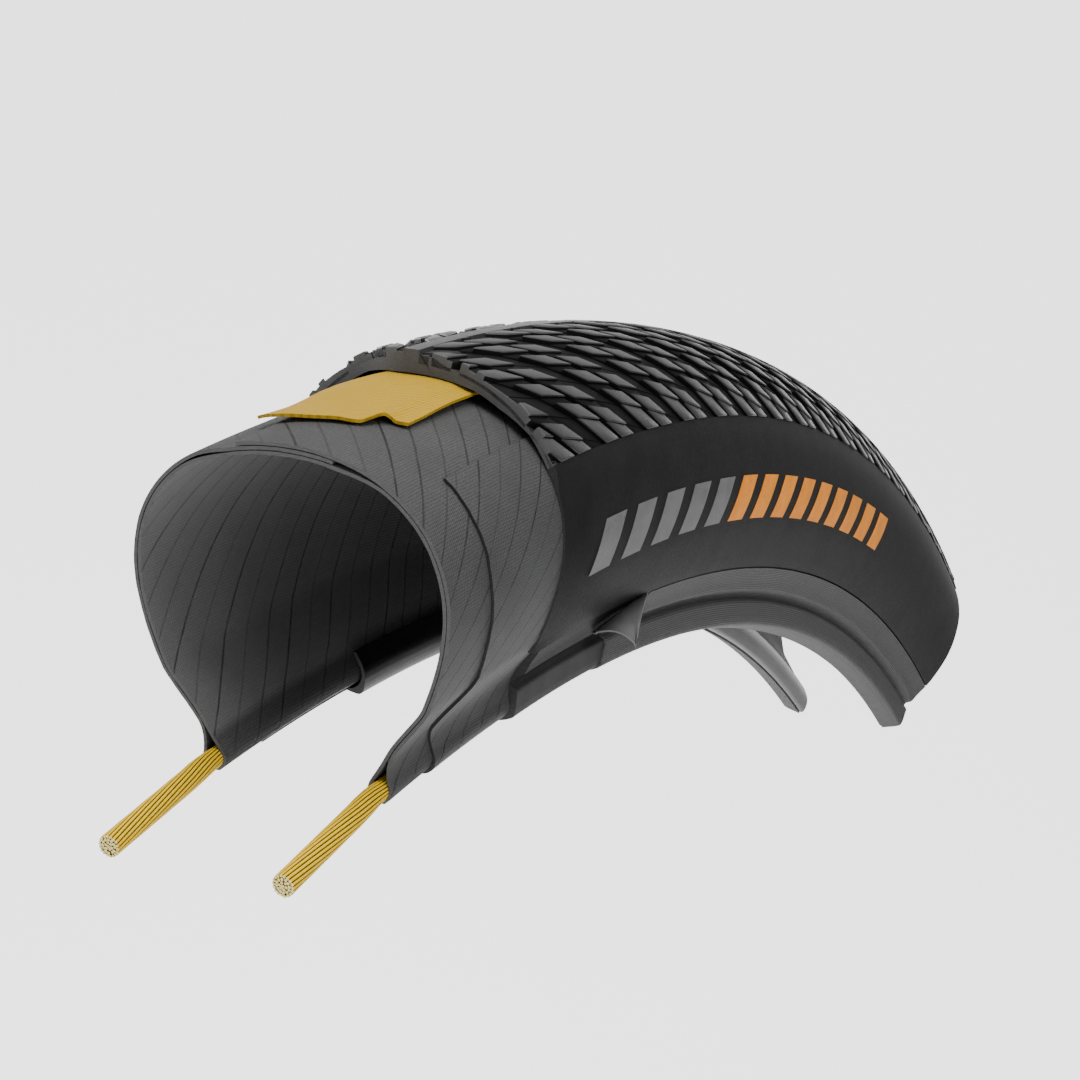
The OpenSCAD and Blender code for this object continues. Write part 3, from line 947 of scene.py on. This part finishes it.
def tread_tiles(side):
    tiles = []
    turns = range(-10, int((FAR_CUT - COVER_START) / GROOVE_PITCH) + 8)
    for k in turns:
        turn = k * GROOVE_PITCH + (FAR_HALF_TURN if side < 0 else 0.0)
        for row in range(0, -7, -1):
            for q0, q1, shift in ((0.0, 1.0, 0.0), (SLOT, RIB_B, 0.042)):
                tiles.append((quad(q0, q1, row - BLOCK, row, (0, 0, 0, 0), shift), turn))
                if row == 0:
                    tiles.append((quad(q0, q1, 0, 1.6, (LAND_DROP,) * 4, shift), turn))
                else:
                    low = (0.5, 0.3, 0.3, 0.5) if q0 == 0.0 else (0.3,) * 4
                    tiles.append((quad(q0, q1, row, row + 1 - BLOCK, low, shift), turn))
            low = (0.35, 0.62, 0.62, 0.35)
            if row == 0:
                tiles.append((quad(RIB_B, NEXT, -1, -0.05, (0.35, 0.62, 0.75, 0.5)), turn))
                tiles.append((quad(RIB_B, NEXT, -0.05, 1.6, (0.5, 0.75, 1.0, 1.0)), turn))
            else:
                tiles.append((quad(RIB_B, NEXT, row - 1, row, low), turn))
    out = []
    for poly, turn in tiles:
        part = tile(poly, side, turn)
        if part:
            out.append(part)
    return out


def base_outer():
    """The tread's outer profile at the bottom of its slots, with the plain rib on the crown."""
    out = []
    for s in np.concatenate([np.linspace(-SHOULDER_S, -PATTERN_FROM - 0.05, 24),
                             np.linspace(-PATTERN_FROM, PATTERN_FROM, 7),
                             np.linspace(PATTERN_FROM + 0.05, SHOULDER_S, 24)]):
        a = tread_angle(s)
        rib = abs(s) <= PATTERN_FROM
        drop = CROWN_DROP + (BASE_DROP - CROWN_DROP) * smooth((abs(s) - 2.4) / 2.0)
        out.append(flank(a, tread_h(a) - (0.0 if rib else drop)))
    return out


tread = made("tread_moulded",
             joined(solid_of(lambda t: base_outer(), under_tread, COVER_START, shear=cut_shear),
                    *tread_tiles(1), *tread_tiles(-1)), smooth_angle=38)
finish_piece(tread, "tread_rubber", ["tread"], TREAD, TREAD_CUT, GROOVE_PAINTED_SHADE)


# ---------------------------------------------------------------- breaker
# The breaker's front edge: length right of the crown, and wheel angle
BREAKER_FRONT = ((-7, 1.25), (-5, 1.2), (-2.5, 1.28), (0.2, 1.36), (2.5, 1.45), (3.6, 1.55),
                 (4.6, 1.95), (5.2, 2.0), (6.0, 2.0), (7, 2.08))
b_half = BREAKER_HALF / (SECTION_R * math.pi / 180)
b_path = [flank(a, LAY_GAP + BREAKER_T / 2) for a in np.linspace(-b_half, b_half, 81)]
b_len = lengths(b_path)[-1]


def breaker_lift(t, l):
    """The free front end stands off the casing in waves, and runs up under the tread's lip."""
    s = l - b_len / 2
    front = float(np.interp(s, *zip(*BREAKER_FRONT)))
    d = t - front
    free = math.exp(-d / 1.1)
    wave = 0.1 * math.sin(s * 0.9 + 0.6) + 0.6 * math.exp(-((s - 4.6) / 0.8) ** 2)
    corner = 0.3 * smooth((0.5 - s) / 4) * free
    under = 0.95 * smooth((t - 2.0) / 1.8) * (1 - smooth((t - COVER_START - 0.3) / 2.4))
    under *= 1 - 0.35 * smooth((abs(s) - 3) / 4)
    return max(0.0, (0.22 + wave) * free + corner + under)


front_of = ragged(lambda l: float(np.interp(l - b_len / 2, *zip(*BREAKER_FRONT))), 0.006)
breaker = made("breaker_twill_cloth",
               sheet_of(b_path, BREAKER_SHOWN, front_of, lift=breaker_lift, fine=0.08),
               smooth_angle=60)
finish_piece(breaker, "breaker_cloth", ["breaker"], BREAKER, BREAKER)


# ---------------------------------------------------------------- printed bars
FILM_LOW, FILM_TOP, FILM_T = 97, 78, 0.06
GREY_START, BAR_PITCH, BAR_FILL = 5.8, 1.6, 0.62
BAR_SLANT = 0.5     # wheel angle that a bar leans by


def bars(first, count):
    out = []
    angles = np.linspace(FILM_TOP + 0.5, FILM_LOW - 0.5, 12)
    path = [flank(a, sidewall_h(a) + FILM_T * 0.6) for a in angles]
    total = lengths(path)[-1]
    for k in range(count):
        t0 = first + k * BAR_PITCH

        def start_of(l, t0=t0):
            return t0 + BAR_SLANT * (0.5 - l / total)

        out.append(bar_patch(path, start_of, BAR_FILL * BAR_PITCH))
    return out


def bar_patch(path, start_of, width):
    l, nor = lengths(path), normals(path)
    m, rows = len(path), 6
    verts, lay, faces = [], [], []
    for face in (1, -1):
        for i in range(rows):
            for j in range(m):
                t = start_of(l[j]) + width * i / (rows - 1)
                r, n = np.asarray(path[j]) + nor[j] * face * FILM_T / 2
                verts.append(place(r, n, t))
                lay.append((math.radians(t) * CENTRE_R, l[j], face))
    base = rows * m
    for i in range(rows - 1):
        for j in range(m - 1):
            a, b = i * m + j, (i + 1) * m + j
            faces += [(a, a + 1, b + 1, b), (base + a, base + b, base + b + 1, base + a + 1)]
        for j in (0, m - 1):
            a, b = i * m + j, (i + 1) * m + j
            faces.append((a, b, base + b, base + a))
    for i in (0, rows - 1):
        for j in range(m - 1):
            a = i * m + j
            faces.append((a, base + a, base + a + 1, a + 1))
    return verts, faces, lay, [0] * len(faces)


for name, slot, first, count, look in (
        ("grey_bars", "grey_film", GREY_START, 5, GREY_FILM),
        ("orange_bars", "orange_film", GREY_START + 5 * BAR_PITCH, 9, ORANGE_FILM)):
    obj = made(f"{name}_print", joined(*bars(first, count)))
    finish_piece(obj, slot, [f"{name}_transfer"], look)


# ---------------------------------------------------------------- floor, light and camera
def area_light(name, where, target, size, power):
    data = bpy.data.lights.new(name, "AREA")
    data.shape, data.size, data.size_y, data.energy = "RECTANGLE", size[0], size[1], power
    obj = bpy.data.objects.new(name, data)
    bpy.context.scene.collection.objects.link(obj)
    obj.location = where
    aim = Vector(target) - Vector(where)
    obj.rotation_euler = aim.to_track_quat("-Z", "Y").to_euler()
    return obj


def stage_sheet(name, corners, tone, roughness=0.5, glow=0.0):
    """A flat piece of the studio, which is not part of the tire."""
    mesh = bpy.data.meshes.new(name)
    mesh.from_pydata(corners, [], [(0, 1, 2, 3)])
    obj = bpy.data.objects.new(name, mesh)
    bpy.context.scene.collection.objects.link(obj)
    mat = bpy.data.materials.new(name)
    mat.use_nodes = True
    shader = mat.node_tree.nodes["Principled BSDF"].inputs
    shader["Base Color"].default_value = (*grey(tone), 1)
    shader["Roughness"].default_value = roughness
    shader["Emission Color"].default_value = (1, 1, 1, 1)
    shader["Emission Strength"].default_value = glow
    mesh.materials.append(mat)
    return obj


FLOOR_Z, FLOOR_HALF = -0.45, 15.0
CARD_Y, CARD_TOP = -0.27, 0.05
CARD_FROM, CARD_TO = -0.1, 1.9
stage_sheet("studio_floor", [(x, y, FLOOR_Z) for x, y in (
    (-FLOOR_HALF, -FLOOR_HALF), (FLOOR_HALF, -FLOOR_HALF),
    (FLOOR_HALF, FLOOR_HALF), (-FLOOR_HALF, FLOOR_HALF))], 0.95, 0.9, glow=2.0)
# A dark card keeps the floor's light off the near side. The camera doesn't see it.
card = stage_sheet("studio_card", [(x, CARD_Y, z) for x, z in (
    (CARD_FROM, FLOOR_Z + 0.001), (CARD_TO, FLOOR_Z + 0.001),
    (CARD_TO, CARD_TOP), (CARD_FROM, CARD_TOP))], 0.02)
card.visible_camera = False

world = bpy.data.worlds.new("studio")
world.use_nodes = True
world.node_tree.nodes["Background"].inputs["Color"].default_value = (1, 1, 1, 1)
world.node_tree.nodes["Background"].inputs["Strength"].default_value = 0.7
bpy.context.scene.world = world

MIDDLE = (0.09, 0.0, 0.0)
area_light("top_softbox", (0.05, 0.0, 0.7), MIDDLE, (0.7, 0.5), 8)
area_light("near_softbox", (-0.1, -0.75, 0.35), MIDDLE, (0.6, 0.5), 3)

CAMERA_AT = (-0.15616, -0.09759, 0.08812)
camera_data = bpy.data.cameras.new("photo_camera")
camera_data.lens, camera_data.sensor_width = 67.97, 36.0
camera_data.clip_start = 0.01
camera = bpy.data.objects.new("photo_camera", camera_data)
bpy.context.scene.collection.objects.link(camera)
right = Vector((0.41235, -0.91102, -0.00414)).normalized()
down = Vector((-0.29789, -0.13053, -0.94563))
up = -(down - right * down.dot(right)).normalized()
back = right.cross(up)
camera.matrix_world = Matrix.Translation(CAMERA_AT) @ Matrix(
    (right, up, back)).transposed().to_4x4()
bpy.context.scene.camera = camera
